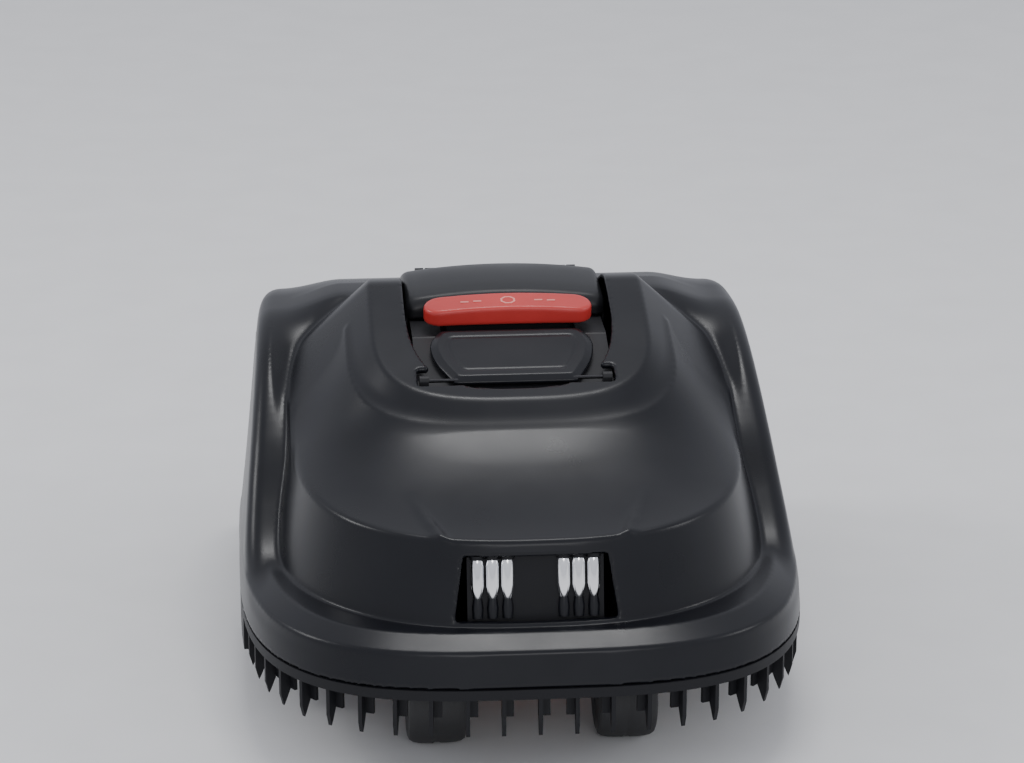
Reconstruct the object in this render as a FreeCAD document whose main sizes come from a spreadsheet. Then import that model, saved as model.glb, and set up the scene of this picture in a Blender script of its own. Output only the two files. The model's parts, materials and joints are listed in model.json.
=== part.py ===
"""Robotic lawn mower, as a parametric FreeCAD document.

Frame: millimetres, +Z up, the mower's front faces -Y, origin on the ground under the centre of the bounding box.
Driving dimensions are in the spreadsheet "dims"; every sub-part is one object whose Label is its node name.
"""
import FreeCAD, Part
import math
import os
import Sketcher

V = FreeCAD.Vector
doc = FreeCAD.newDocument("robot_mower")

# ---------------------------------------------------------------- driving dimensions
DIMS = {
    # overall envelope
    "half_width": 215, "front_y": 288, "wall": 3,
    # hood heights and plan sizes
    "rim_bottom_z": 74, "rim_top_z": 82, "skirt_top_z": 110, "ledge_z": 115, "brow_z": 178,
    "plan_mid_y": -30, "nose_half": 186, "nose_front": 225, "nose_rear": 172, "wall_draft": 15,
    "fender_z": 244, "fender_inner_x": 126, "pillar_z": 280, "arch_inner_x": 143,
    "slope": 16.5, "collar_z": 238, "collar_y": -73,
    "mouth_half": 86, "mouth_front": -88, "mouth_rear": 172, "arch_radius": 120,
    # comb ring
    "tooth_count": 25, "tooth_pitch": 26.5, "tooth_length": 30, "tooth_thick": 3,
    # drive wheels
    "wheel_y": 165, "wheel_radius": 105, "wheel_width": 48, "wheel_inner_x": 150, "tyre_depth": 17,
    "tread_count": 24, "shaft_radius": 6,
    # casters
    "caster_x": 71, "caster_y": -204, "caster_trail": 16, "caster_radius": 40, "caster_width": 44,
    "stem_radius": 6,
    # chassis
    "tray_half": 145, "tray_front": -130, "tray_rear": 240, "tray_z": 74, "joint_z": 115, "cover_z": 150,
    # cutting unit
    "disc_y": -15, "disc_radius": 90, "blade_pcd": 75, "blade_len": 36, "blade_z": 60, "carrier_r": 42.7,
    # cockpit
    "tower_half": 76, "tower_front": -72, "tower_rear": 150, "deck_z": 253, "cap_top": 280, "cap_half": 80,
    "cap_front": 48, "cap_rear": 152, "flap_half": 65, "flap_len": 71, "flap_thick": 6,
    "button_len": 135, "button_depth": 29, "button_height": 16, "button_tilt": 10,
    "pin_radius": 2, "fit": 0.05,
}
sheet = doc.addObject("Spreadsheet::Sheet", "dims")
for row, (alias, value) in enumerate(DIMS.items(), start=1):
    sheet.set(f"A{row}", alias)
    sheet.set(f"B{row}", str(value))
    sheet.setAlias(f"B{row}", alias)
doc.recompute()


def dim(alias):
    """A driving dimension read back from the sheet, for shapes made with Part's own functions."""
    return float(sheet.get(alias))


def number(value):
    """The number that a sum such as "$tray_half - $wall*2 + 4" stands for, where $ marks a cell of the sheet."""
    if not isinstance(value, str):
        return float(value)
    total, sign = 0.0, 1.0
    for token in value.split():
        if token in "+-":
            sign = 1.0 if token == "+" else -1.0
            continue
        term = sign
        if token.startswith("-"):
            term, token = -sign, token[1:]
        for factor in token.split("*"):
            term *= dim(factor[1:]) if factor.startswith("$") else float(factor)
        total, sign = total + term, 1.0
    return total


# ---------------------------------------------------------------- helpers
nodes = {}


def bind(obj, prop, value):
    """Sets a property to a number, or binds it to the sheet where value is an expression."""
    if isinstance(value, str):
        obj.setExpression(prop, value.replace("$", "dims."))
    elif prop.startswith("Placement.Base."):
        placement = FreeCAD.Placement(obj.Placement)
        base = placement.Base
        setattr(base, prop[-1], float(value))
        placement.Base = base
        obj.Placement = placement
    else:
        setattr(obj, prop, value)


def place(obj, x=0, y=0, z=0, axis=None, angle=0.0):
    """Places obj by its base point, turned by angle degrees about axis."""
    turn = FreeCAD.Rotation(V(*axis), angle) if axis else FreeCAD.Rotation()
    obj.Placement = FreeCAD.Placement(V(0, 0, 0), turn)
    for name, value in (("x", x), ("y", y), ("z", z)):
        bind(obj, f"Placement.Base.{name}", value)
    return obj


def node(obj, name):
    """Marks obj as a sub-part under its own name."""
    obj.Label = name
    nodes[name] = obj
    return obj


def box(name, x, y, z, dx, dy, dz, axis=None, angle=0.0):
    """A box by its low corner and its sizes."""
    obj = doc.addObject("Part::Box", name)
    for prop, value in (("Length", dx), ("Width", dy), ("Height", dz)):
        bind(obj, prop, value)
    return place(obj, x, y, z, axis, angle)


TURNS = {"Z": (None, 0.0), "X": ((0, 1, 0), 90.0), "Y": ((1, 0, 0), -90.0), "-X": ((0, 1, 0), -90.0)}


def cylinder(name, x, y, z, radius, height, along="Z"):
    """A cylinder from its start point along an axis."""
    obj = doc.addObject("Part::Cylinder", name)
    bind(obj, "Radius", radius)
    bind(obj, "Height", height)
    axis, angle = TURNS[along]
    return place(obj, x, y, z, axis, angle)


def cone(name, x, y, z, r1, r2, height, along="Z"):
    """A cone frustum from its start point along an axis."""
    obj = doc.addObject("Part::Cone", name)
    for prop, value in (("Radius1", r1), ("Radius2", r2), ("Height", height)):
        bind(obj, prop, value)
    axis, angle = TURNS[along]
    return place(obj, x, y, z, axis, angle)


def fuse(name, *shapes):
    obj = doc.addObject("Part::MultiFuse", name)
    obj.Shapes = list(shapes)
    obj.Refine = True
    return obj


def cut(name, base, *tools):
    tool = tools[0] if len(tools) == 1 else fuse(name + "_tools", *tools)
    obj = doc.addObject("Part::Cut", name)
    obj.Base, obj.Tool = base, tool
    obj.Refine = True
    return obj


def group(name, shapes):
    obj = doc.addObject("Part::Compound", name)
    obj.Links = list(shapes)
    return obj


def sketch(body, plane, points, name):
    """A closed polygon whose corners are held by distances from the origin, each a number or an expression."""
    made = body.newObject("Sketcher::SketchObject", name)
    support = next(f for f in body.Origin.OriginFeatures if f.Role == plane)
    made.AttachmentSupport = [(support, "")]
    made.MapMode = "FlatFace"

    corners = [V(number(a), number(b), 0) for a, b in points]
    count = len(corners)
    for i in range(count):
        made.addGeometry(Part.LineSegment(corners[i], corners[(i + 1) % count]), False)
    for i in range(count):
        made.addConstraint(Sketcher.Constraint("Coincident", i, 2, (i + 1) % count, 1))
    for i, corner in enumerate(corners):
        for kind, value, target in (("DistanceX", points[i][0], corner.x), ("DistanceY", points[i][1], corner.y)):
            index = made.addConstraint(Sketcher.Constraint(kind, -1, 1, i, 1, target))
            if isinstance(value, str):
                made.setExpression(f"Constraints[{index}]", value.replace("$", "dims."))
    return made


def new_body(name, x=0, y=0, z=0, axis=None, angle=0.0):
    return place(doc.addObject("PartDesign::Body", name), x, y, z, axis, angle)


def pad(body, profile, length, both_sides=False, back=False):
    made = body.newObject("PartDesign::Pad", profile.Name + "_pad")
    made.Profile = profile
    bind(made, "Length", length)
    made.Midplane = both_sides
    made.Reversed = back
    profile.Visibility = False
    return made


def pocket(body, profile, length, both_sides=False, back=False):
    made = body.newObject("PartDesign::Pocket", profile.Name + "_pocket")
    made.Profile = profile
    bind(made, "Length", length)
    made.Midplane = both_sides
    made.Reversed = back
    return made


def revolve(body, profile, groove=False):
    """Turns a profile drawn on the XZ plane about the body's own Z axis."""
    kind = "PartDesign::Groove" if groove else "PartDesign::Revolution"
    made = body.newObject(kind, profile.Name + "_turn")
    made.Profile = profile
    made.ReferenceAxis = (profile, ["V_Axis"])
    made.Angle = 360
    return made


def polar(body, feature, count):
    """Repeats a feature about the body's own Z axis."""
    made = body.newObject("PartDesign::PolarPattern", feature.Name + "_pattern")
    made.Originals = [feature]
    made.Axis = (next(f for f in body.Origin.OriginFeatures if f.Role == "Z_Axis"), [""])
    made.Angle = 360
    bind(made, "Occurrences", count)
    body.Tip = made
    return made


def turned(name, points, x=0, y=0, z=0, axis=None, angle=0.0):
    """A body of revolution about its own Z axis from (radius, height) corners."""
    body = new_body(name, x, y, z, axis, angle)
    revolve(body, sketch(body, "XZ_Plane", points, name + "_profile"))
    return body


def profile_body(name, points, half_width):
    """A side profile of (y, z) corners, padded to the same distance each side of the centre plane."""
    body = new_body(name)
    width = " ".join(term if term in "+-" else term + "*2" for term in half_width.split())
    pad(body, sketch(body, "YZ_Plane", points, name + "_profile"), width, both_sides=True)
    return body


# ---------------------------------------------------------------- hood: shapes made with Part's own functions
def egg(half, mid, front, rear, front_power, rear_power, z, count=20):
    """A closed plan outline: two superellipse halves that meet at y = mid."""
    points = []
    for i in range(2 * count):
        t = math.pi * i / count
        c, s = math.cos(t), math.sin(t)
        power, reach = (rear_power, rear) if s > 0 else (front_power, front)
        points.append(V(math.copysign(abs(c) ** (2 / power), c) * half,
                        mid + math.copysign(abs(s) ** (2 / power), s) * reach, z))
    curve = Part.BSplineCurve()
    curve.interpolate(Points=points, PeriodicFlag=True)
    return Part.Wire([curve.toShape()])


def column(lower, upper):
    """A solid between two closed outlines."""
    return Part.makeLoft([lower, upper], True, True)


def slab(points, x_low, x_high):
    """A side profile of (y, z) corners, from x_low to x_high."""
    corners = [V(x_low, y, z) for y, z in points]
    return Part.Face(Part.makePolygon(corners + corners[:1])).extrude(V(x_high - x_low, 0, 0))


def skirt_plan(inset, z):
    mid, front = dim("plan_mid_y"), dim("front_y")
    lean = 0.25 * (z - dim("rim_bottom_z")) + inset
    return egg(dim("half_width") - 1 - lean * 0.5, mid, front + mid - 1 - lean, front - mid - 1 - lean, 3.3, 7, z)


def nose_plan(inset, z):
    lean = math.tan(math.radians(dim("wall_draft"))) * (z - dim("ledge_z")) + inset
    mid = dim("plan_mid_y")
    return egg(dim("nose_half") - lean, mid, dim("nose_front") - lean, dim("nose_rear") - lean, 2.6, 2.1, z)


def slope_z(y):
    """Height of the sloping plane that the collar and the pillars lie in."""
    return dim("collar_z") + (y - dim("collar_y")) * math.tan(math.radians(dim("slope")))


def hood_block(inset):
    """The hood as a full solid, drawn in by inset on every outer face."""
    floor = dim("rim_top_z") - (5 if inset else 0)
    ledge, top, reach = dim("ledge_z") - inset, 300, dim("half_width")
    skirt = column(skirt_plan(inset, floor), skirt_plan(inset, dim("skirt_top_z") - inset))
    shoulder = column(skirt_plan(inset, dim("skirt_top_z") - inset), skirt_plan(inset + 10, ledge))
    nose = column(nose_plan(inset, floor), nose_plan(inset, top))
    nose = nose.common(slab([(-300, floor), (-300, dim("brow_z") - inset - 18), (-238, dim("brow_z") - inset),
                             (-105, 221 - inset), (0, 246 - inset), (130, 246 - inset), (130, floor)],
                            -reach, reach))
    fender_z = dim("fender_z") - inset
    fender = [(-165, floor), (-165, ledge), (-110, ledge + 8), (-70, ledge + 32), (-20, ledge + 77),
              (30, fender_z - 17), (80, fender_z - 2), (140, fender_z), (200, fender_z - 12), (245, fender_z - 42),
              (275 - inset, fender_z - 92), (288 - inset, ledge), (288 - inset, floor)]
    mid, front = dim("plan_mid_y"), dim("front_y")
    envelope = column(skirt_plan(inset, floor),
                      egg(reach - 12 - inset, mid, front + mid - 60, front - mid - 8 - inset, 3.3, 7, top))
    cheeks = [slab(fender, dim("fender_inner_x") + inset, reach), slab(fender, -reach, -dim("fender_inner_x") - inset)]
    deck = slab([(60, floor), (60, 246 - inset), (150, 248 - inset), (196, 240 - inset), (240, 205 - inset),
                 (272 - inset, 150), (284 - inset, ledge), (284 - inset, floor)], -reach, reach)
    tail = cheeks[0].fuse([cheeks[1], deck]).common(envelope)
    outer = egg(118 - inset, 10, 120 - inset, 130 - inset, 3.2, 5, 200)
    flare = egg(134 - inset, 10, 138 - inset, 146 - inset, 3.2, 5, 200)
    flare.translate(V(0, 0, 20))
    outer.translate(V(0, 0, 90))
    horseshoe = column(flare, outer).common(slab(
        [(-140, 200), (-140, slope_z(-100) - inset), (68, dim("pillar_z") - inset), (86, dim("pillar_z") - 3 - inset),
         (112, 267 - inset), (140, 252 - inset), (160, 240 - inset), (160, 200)], -reach, reach))
    return skirt.fuse([shoulder, nose, tail, horseshoe])


def hood_shape():
    wall = dim("wall")
    block = hood_block(0)
    posts = [Part.makeCylinder(8, 140, V(x, y, POST_Z)).common(block)
             for x in (-POST_X, POST_X) for y in (POST_FRONT, POST_REAR)]
    hollow = hood_block(wall)
    half, front, rear = dim("mouth_half"), dim("mouth_front"), dim("mouth_rear")
    mouth = egg(half, (front + rear) / 2, (rear - front) / 2, (rear - front) / 2, 6, 8, 150)
    mouth = Part.Face(mouth).extrude(V(0, 0, 200))
    wheel = Part.makeCylinder(dim("arch_radius"), 500, V(-250, dim("wheel_y"), dim("wheel_radius")), V(1, 0, 0))
    inner_x = dim("arch_inner_x")
    inner = slab([(-300, 0), (-300, 300), (300, 300), (300, 0)], -inner_x, inner_x)
    arches = wheel.cut(inner).cut(slab([(0, 222), (0, 300), (300, 300), (300, 222)], -250, 250))
    window = Part.Face(Part.makePolygon([V(x, -300, z) for x, z in (
        (-56, 118), (56, 118), (51, 165), (-51, 165), (-56, 118))])).extrude(V(0, 90, 0))
    shell = block.cut(hollow)
    for tool in (mouth, arches, window):
        shell = shell.cut(tool)
    shell = shell.fuse(posts).cut(mouth)
    bores = [Part.makeCylinder(SCREW_R, 16, V(x, y, POST_Z))
             for x in (-POST_X, POST_X) for y in (POST_FRONT, POST_REAR)]
    return shell.cut(Part.makeCompound(bores))


# the four places where the hood is held to the float frame
POST_X, POST_FRONT, POST_REAR, POST_Z, SCREW_R = 106, -140, 206, 166, 2.6


def direct(name, shape):
    """A sub-part whose shape is made with Part's own functions; slivers left by the cuts are dropped."""
    obj = doc.addObject("Part::Feature", name)
    largest = max(solid.Volume for solid in shape.Solids)
    solids = [solid for solid in shape.Solids if solid.Volume > largest / 100]
    obj.Shape = solids[0] if len(solids) == 1 else Part.makeCompound(solids)
    return node(obj, name)


def comb_shape():
    """The band under the skirt, its two long side plates and the fins and tabs that hang from it."""
    mid, front = dim("plan_mid_y"), dim("front_y")
    low, high, half = dim("rim_bottom_z"), dim("rim_top_z") - 0.3, dim("half_width")

    def outline(inset, z):
        return egg(half - inset, mid, front + mid - inset, front - mid - inset, 3.3, 7, z, 40)

    band = Part.Face(outline(0, low)).extrude(V(0, 0, high - low)).cut(
        Part.Face(outline(6, low - 1)).extrude(V(0, 0, 20)))
    plates = Part.Face(outline(0, low - 26)).extrude(V(0, 0, 26.5)).cut(
        Part.Face(outline(3.5, low - 27)).extrude(V(0, 0, 30)))
    keep = slab([(-120, 40), (-120, 90), (44, 90), (44, 62), (30, 40)], -250, 250)
    rear = slab([(286, 60), (286, 90), (300, 90), (300, 60)], -143, 143)
    front_part = band.common(slab([(-300, 60), (-300, 90), (48, 90), (48, 60)], -250, 250))
    shape = front_part.fuse([plates.common(keep), band.common(rear)])
    # fins: found by walking along the front half of the outline in equal steps
    path = [(math.copysign(abs(math.cos(t)) ** (2 / 3.3), math.cos(t)) * (half - 1),
             mid - abs(math.sin(t)) ** (2 / 3.3) * (front + mid - 1))
            for t in (math.pi * i / 4000 for i in range(4001))]
    run, lengths = 0.0, [0.0]
    for (ax, ay), (bx, by) in zip(path, path[1:]):
        run += math.hypot(bx - ax, by - ay)
        lengths.append(run)
    count, pitch, thick = int(dim("tooth_count")), dim("tooth_pitch"), dim("tooth_thick")
    teeth = []
    for k in range(count):
        at = run / 2 + (k - (count - 1) / 2 + 0.5 * (1 - count % 2)) * pitch
        i = min(range(len(lengths)), key=lambda j: abs(lengths[j] - at))
        x, y = path[i]
        ahead, behind = path[min(i + 4, 4000)], path[max(i - 4, 0)]
        angle = math.degrees(math.atan2(ahead[1] - behind[1], ahead[0] - behind[0])) + 180
        fin = Part.Face(Part.makePolygon([V(0, a, b) for a, b in (
            (0.5, low + 1), (11, low + 1), (11, low - 12), (5, low - dim("tooth_length") + 4),
            (3, low - dim("tooth_length")), (0.5, low - dim("tooth_length") + 9), (0.5, low + 1))])).extrude(
                V(thick, 0, 0))
        side = 1 if k >= (count - 1) / 2 else -1
        tab = Part.makeBox(9, 2.5, 18, V(0 if side > 0 else -9 + thick, 8.5, low - 17))
        tooth = fin.fuse(tab)
        tooth.translate(V(-thick / 2, 0, 0))
        tooth.rotate(V(0, 0, 0), V(0, 0, 1), angle)
        tooth.translate(V(x, y, 0))
        teeth.append(tooth)
    return shape.fuse(teeth)


def flip(text):
    """The same sum with every sign turned, for the other side of the centre plane."""
    parts = ("+ " + text).split()
    turned_signs = [("- " if sign == "+" else "+ ") + term for sign, term in zip(parts[::2], parts[1::2])]
    return "0 " + " ".join(turned_signs)


def side_box(name, side, low, y, z, dx, dy, dz):
    """A box whose inner face is at x = low on one side of the centre plane."""
    low = str(low)
    return box(name, low if side > 0 else flip(f"{low} + {dx}"), y, z, dx, dy, dz)


def side_x(side, low):
    return str(low) if side > 0 else flip(str(low))


SIDES = ((-1, "left"), (1, "right"))
ALONG = {-1: "-X", 1: "X"}

# ---------------------------------------------------------------- hood
direct("hood_shell", hood_shape())
direct("comb_ring", comb_shape())
screws = []
for x in (-POST_X, POST_X):
    for y in (POST_FRONT, POST_REAR):
        screws.append(turned(f"hood_screw_{len(screws)}", [
            (0, 151.5), (6, 151.5), (6, 154.5), (3.5, 154.5), (3.5, POST_Z), (SCREW_R - 0.05, POST_Z),
            (SCREW_R - 0.05, 180), (0, 180)], x, y))
node(group("hood_screws_group", screws), "hood_screws")

# ---------------------------------------------------------------- float frame and its rubber buffers
holes = [cylinder(f"frame_hole_{i}", x, y, 160, 3.8, 10) for i, (x, y) in enumerate(
    (a, b) for a in (-POST_X, POST_X) for b in (POST_FRONT, POST_REAR))]
node(cut("float_frame", box("frame_plate", -125, -165, 163, 250, 380, 3),
         box("frame_inside", -88, -92, 160, 176, 268, 10), *holes), "float_frame")
buffers = [turned(f"buffer_{i}", [(0, 150), (10, 150), (10, 152), (7.5, 154), (7.5, 156), (10, 158), (10, 163),
                                  (0, 163)], x, y)
           for i, (x, y) in enumerate(((-106, -110), (106, -110), (-106, 186), (106, 186)))]
node(group("float_buffers_group", buffers), "float_buffers")

# ---------------------------------------------------------------- chassis tub and cover
CORNERS = ((-131, -116), (131, -116), (-131, 226), (131, 226))
tub = box("tub", "0 - $tray_half", "$tray_front", "$tray_z", "$tray_half*2", "$tray_rear - $tray_front",
          "$joint_z - $tray_z")
platform = box("platform", -125, -245, 90, 250, 117, 14)
bosses = [cylinder(f"caster_boss_{name}", side_x(side, "$caster_x"), "$caster_y", 90, 14, 35) for side, name in SIDES]
tub_inside = box("tub_inside", "$wall - $tray_half", "$tray_front + $wall", "$tray_z + $wall",
                 "$tray_half*2 - $wall*2", "$tray_rear - $tray_front - $wall*2", 60)
tub_shell = cut("tub_shell", fuse("tub_block", tub, platform, *bosses), tub_inside)
collar = cylinder("collar", 0, "$disc_y", "$tray_z + 1", "$carrier_r + 3.3", 25)
tub_posts = [cylinder(f"tub_post_{i}", x, y, "$tray_z + 1", 7, "$joint_z - $tray_z - 1")
             for i, (x, y) in enumerate(CORNERS)]
tub_tools = [cylinder("collar_bore", 0, "$disc_y", 60, "$carrier_r + 0.3", 60),
             box("battery_opening", -52, 178, 60, 104, 44, 30),
             cylinder("axle_hole", -160, "$wheel_y", "$wheel_radius", 9, 320, "X")]
tub_tools += [cylinder(f"boss_bore_{name}", side_x(side, "$caster_x"), "$caster_y", 80, 10, 60)
              for side, name in SIDES]
tub_tools += [cylinder(f"tub_screw_bore_{i}", x, y, 60, 2.05, 80) for i, (x, y) in enumerate(CORNERS)]
node(cut("chassis_tray", fuse("tub_all", tub_shell, collar, *tub_posts), *tub_tools), "chassis_tray")

lid = box("lid", "0 - $tray_half", "$tray_front", "$joint_z", "$tray_half*2", "$tray_rear - $tray_front",
          "$cover_z - $joint_z")
lid_inside = box("lid_inside", "$wall - $tray_half", "$tray_front + $wall", "$joint_z - 1",
                 "$tray_half*2 - $wall*2", "$tray_rear - $tray_front - $wall*2", "$cover_z - $joint_z - $wall + 1")
BOARD_FEET = ((-80, 55), (80, 55), (-80, 160), (80, 160))
lid_posts = [cylinder(f"board_foot_{i}", x, y, 140, 4, 8) for i, (x, y) in enumerate(BOARD_FEET)]
lid_posts += [cylinder(f"lid_post_{i}", x, y, "$joint_z", 7, 33) for i, (x, y) in enumerate(CORNERS)]
lid_bores = [cylinder(f"lid_screw_bore_{i}", x, y, 110, 2.05, 30) for i, (x, y) in enumerate(CORNERS)]
lid_bores.append(cylinder("sleeve_hole", 0, "$disc_y", 140, 10, 20))
node(cut("chassis_cover", fuse("lid_all", cut("lid_shell", lid, lid_inside), *lid_posts), *lid_bores),
     "chassis_cover")
node(cut("chassis_gasket",
         box("gasket_outside", "$wall - $tray_half + 0.1", "$tray_front + $wall + 0.1", "$joint_z - 3",
             "$tray_half*2 - $wall*2 - 0.2", "$tray_rear - $tray_front - $wall*2 - 0.2", 6),
         box("gasket_inside", "$wall - $tray_half + 3", "$tray_front + $wall + 3", "$joint_z - 4",
             "$tray_half*2 - $wall*2 - 6", "$tray_rear - $tray_front - $wall*2 - 6", 8)), "chassis_gasket")
node(group("chassis_screws_group", [
    turned(f"chassis_screw_{i}", [(0, 71), (4.5, 71), (4.5, 74), (2, 74), (2, 126), (0, 126)], x, y)
    for i, (x, y) in enumerate(CORNERS)]), "chassis_screws")
node(box("battery_door", -60, 170, "$tray_z - 3", 120, 60, 3), "battery_door")
node(box("battery_pack", -62, 166, 80, 124, 66, 48), "battery_pack")
node(cut("main_board", box("board_plate", -85, 48, 138.4, 170, 118, 1.6),
         cylinder("board_notch", 0, 48, 130, 9, 20)), "main_board")

# ---------------------------------------------------------------- drive units and wheels
for side, name in SIDES:
    node(cylinder(f"drive_motor_{name}", side_x(side, 45), 140, "$wheel_radius", 18, 55, ALONG[side]),
         f"drive_motor_{name}")
    node(cut(f"gearbox_{name}", side_box(f"gearbox_block_{name}", side, 100, 120, 77, 38.5, 75, 57),
             cylinder(f"gearbox_bore_{name}", side_x(side, 127), "$wheel_y", "$wheel_radius",
                      "$shaft_radius + $fit", 20, ALONG[side])), f"gearbox_{name}")
    node(cylinder(f"drive_shaft_{name}", side_x(side, 128), "$wheel_y", "$wheel_radius", "$shaft_radius",
                  "$wheel_inner_x - 90", ALONG[side]), f"drive_shaft_{name}")
    turn = ((0, 1, 0), 90.0 * side)
    rim = turned(f"wheel_rim_{name}", [
        (6, 6), (18, 6), (18, 22), (77, 22), (79, 2), ("$wheel_radius - $tyre_depth", 2),
        ("$wheel_radius - $tyre_depth", 46), (79, 46), (77, 28), (18, 28), (18, 38), (6, 38)],
        side_x(side, "$wheel_inner_x"), "$wheel_y", "$wheel_radius", *turn)
    opening = pocket(rim, sketch(rim, "XY_Plane", [(30, -9), (66, -15), (66, 15), (30, 9)], f"rim_gap_{name}"),
                     120, both_sides=True)
    polar(rim, opening, 6)
    node(rim, f"wheel_rim_{name}")
    tyre = turned(f"tyre_{name}", [
        ("$wheel_radius - $tyre_depth", 0), ("$wheel_radius - 5", 0), ("$wheel_radius", 5),
        ("$wheel_radius", "$wheel_width - 5"), ("$wheel_radius - 5", "$wheel_width"),
        ("$wheel_radius - $tyre_depth", "$wheel_width")],
        side_x(side, "$wheel_inner_x"), "$wheel_y", "$wheel_radius", *turn)
    groove = pocket(tyre, sketch(tyre, "XY_Plane", [
        ("$wheel_radius - 9", -3.5), ("$wheel_radius + 3", -6), ("$wheel_radius + 3", 6),
        ("$wheel_radius - 9", 3.5)], f"tread_gap_{name}"), 120, both_sides=True)
    polar(tyre, groove, "$tread_count")
    node(tyre, f"tyre_{name}")
    node(turned(f"hub_cap_{name}", [(0, 38), (20, 38), (20, 41), (14, 45), (0, 46)],
                side_x(side, "$wheel_inner_x"), "$wheel_y", "$wheel_radius", *turn), f"hub_cap_{name}")

# ---------------------------------------------------------------- casters
for side, name in SIDES:
    x = side_x(side, "$caster_x")
    wheel_at = "$caster_y + $caster_trail"
    stem = turned(f"fork_stem_{name}", [(0, 84), (16, 84), (16, 86), ("$stem_radius", 86), ("$stem_radius", 126),
                                        (9, 126), (9, 129), (0, 129)], x, "$caster_y")
    crown = box(f"fork_crown_{name}", f"{x} - 26.5", "$caster_y - 15", 82, 53, 47, 3)
    legs = [box(f"fork_leg_{name}_{i}", f"{x} + {at}", "$caster_y + 2", 32, 3.5, 28, 51)
            for i, at in enumerate((-26.5, 23))]
    fork_bore = cylinder(f"fork_bore_{name}", f"{x} - 30", wheel_at, "$caster_radius", 3, 60, "X")
    node(cut(f"caster_fork_{name}", fuse(f"fork_all_{name}", stem, crown, *legs), fork_bore),
         f"caster_fork_{name}")
    node(cylinder(f"caster_axle_{name}", f"{x} - 27.5", wheel_at, "$caster_radius", 3, 55, "X"),
         f"caster_axle_{name}")
    node(turned(f"caster_wheel_{name}", [
        ("3 + $fit", -22), (12, -22), (12, -19), (30, -19), (30, -21), (34, -22), (38, -19), (39.6, -14),
        ("$caster_radius", 0), (39.6, 14), (38, 19), (34, 22), (30, 21), (30, 19), (12, 19), (12, 22),
        ("3 + $fit", 22)], x, wheel_at, "$caster_radius", (0, 1, 0), 90.0), f"caster_wheel_{name}")
    node(turned(f"caster_bush_{name}", [
        ("$stem_radius + $fit", 88), (13, 88), (13, 90), (10, 90), (10, 124), ("$stem_radius + $fit", 124)],
        x, "$caster_y"), f"caster_bush_{name}")

# ---------------------------------------------------------------- charging contacts
BLOCK = [(-244, 104), (-232.6, 163.4), (-222, 163.4), (-222, 104)]
node(profile_body("contact_block", BLOCK, "50"), "contact_block")
for side, name in SIDES:
    ribs = []
    for i, at in enumerate((20.5, 31.5, 42.5)):
        ribs.append(cylinder(f"rib_{name}_{i}", side * at, -239.4, 131, 4.8, 33))
        place(ribs[-1], side * at, -239.4, 131, (1, 0, 0), -10.95)
    cutter = profile_body(f"rib_back_{name}", BLOCK, "50")
    node(cut(f"charge_contact_{name}", fuse(f"ribs_{name}", *ribs), cutter), f"charge_contact_{name}")

# ---------------------------------------------------------------- cutting unit
node(turned("motor_carrier", [
    (8, 70), ("$carrier_r", 70), ("$carrier_r", 118), ("$carrier_r - 3", 118), ("$carrier_r - 3", 73), (8, 73)],
    0, "$disc_y"), "motor_carrier")
node(turned("cutting_motor", [
    (4 + 0.05, 73), (26, 73), (26, 118), (14, 118), (14, 125), (0, 125), (0, 90), (4.05, 90)], 0, "$disc_y"),
    "cutting_motor")
node(turned("height_sleeve", [(6.35, 125), (9, 125), (9, 185), (6.35, 185)], 0, "$disc_y"), "height_sleeve")
node(turned("disc_shaft", [(0, 64.5), (4, 64.5), (4, 88), (0, 88)], 0, "$disc_y"), "disc_shaft")
disc = turned("blade_disc", [
    (0, 60), (18, 60), (22, 61.5), ("$disc_radius", 61.5), ("$disc_radius", 64.5), (0, 64.5)], 0, "$disc_y")
disc_holes = []
blade_screws = []
for k in range(3):
    angle = math.radians(90 + 120 * k)
    x = round(dim("blade_pcd") * math.cos(angle), 4)
    y = round(dim("disc_y") + dim("blade_pcd") * math.sin(angle), 4)
    disc_holes.append(cylinder(f"disc_hole_{k}", x, y, 50, 2, 30))
    blade_screws.append(turned(f"blade_screw_{k}", [(0, 57.4), (4.5, 57.4), (4.5, 59), (2, 59), (2, 64.5), (0, 64.5)],
                               x, y))
    blade = new_body(f"blade_{k + 1}", x, y, "$blade_z", (0, 0, 1), 90.0 + 120 * k)
    pad(blade, sketch(blade, "XY_Plane", [
        (-7, -6), (-4, -9), ("$blade_len - 8", -9), ("$blade_len - 6", 0), ("$blade_len - 8", 9), (-4, 9), (-7, 6)],
        f"blade_plan_{k + 1}"), 1, both_sides=True)
    blade_hole = cylinder(f"blade_hole_{k + 1}", x, y, 50, "2 + $fit", 30)
    node(cut(f"cutting_blade_{k + 1}", blade, blade_hole), f"blade_{k + 1}")
node(cut("blade_disc_bored", disc, *disc_holes), "blade_disc")
node(group("blade_screws_group", blade_screws), "blade_screws")

# ---------------------------------------------------------------- cockpit housing, with its recess, well and ears
FLAP_Y, FLAP_Z, PIN_S, PIN_N, HINGE_Z = -63, 241, 4, -3, 258
slope = math.radians(dim("slope"))


def on_slope(s, n):
    """The (y, z) point s along and n above the sloping plane that the flap lies in."""
    return (FLAP_Y + s * math.cos(slope) - n * math.sin(slope), FLAP_Z + s * math.sin(slope) + n * math.cos(slope))


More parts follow.
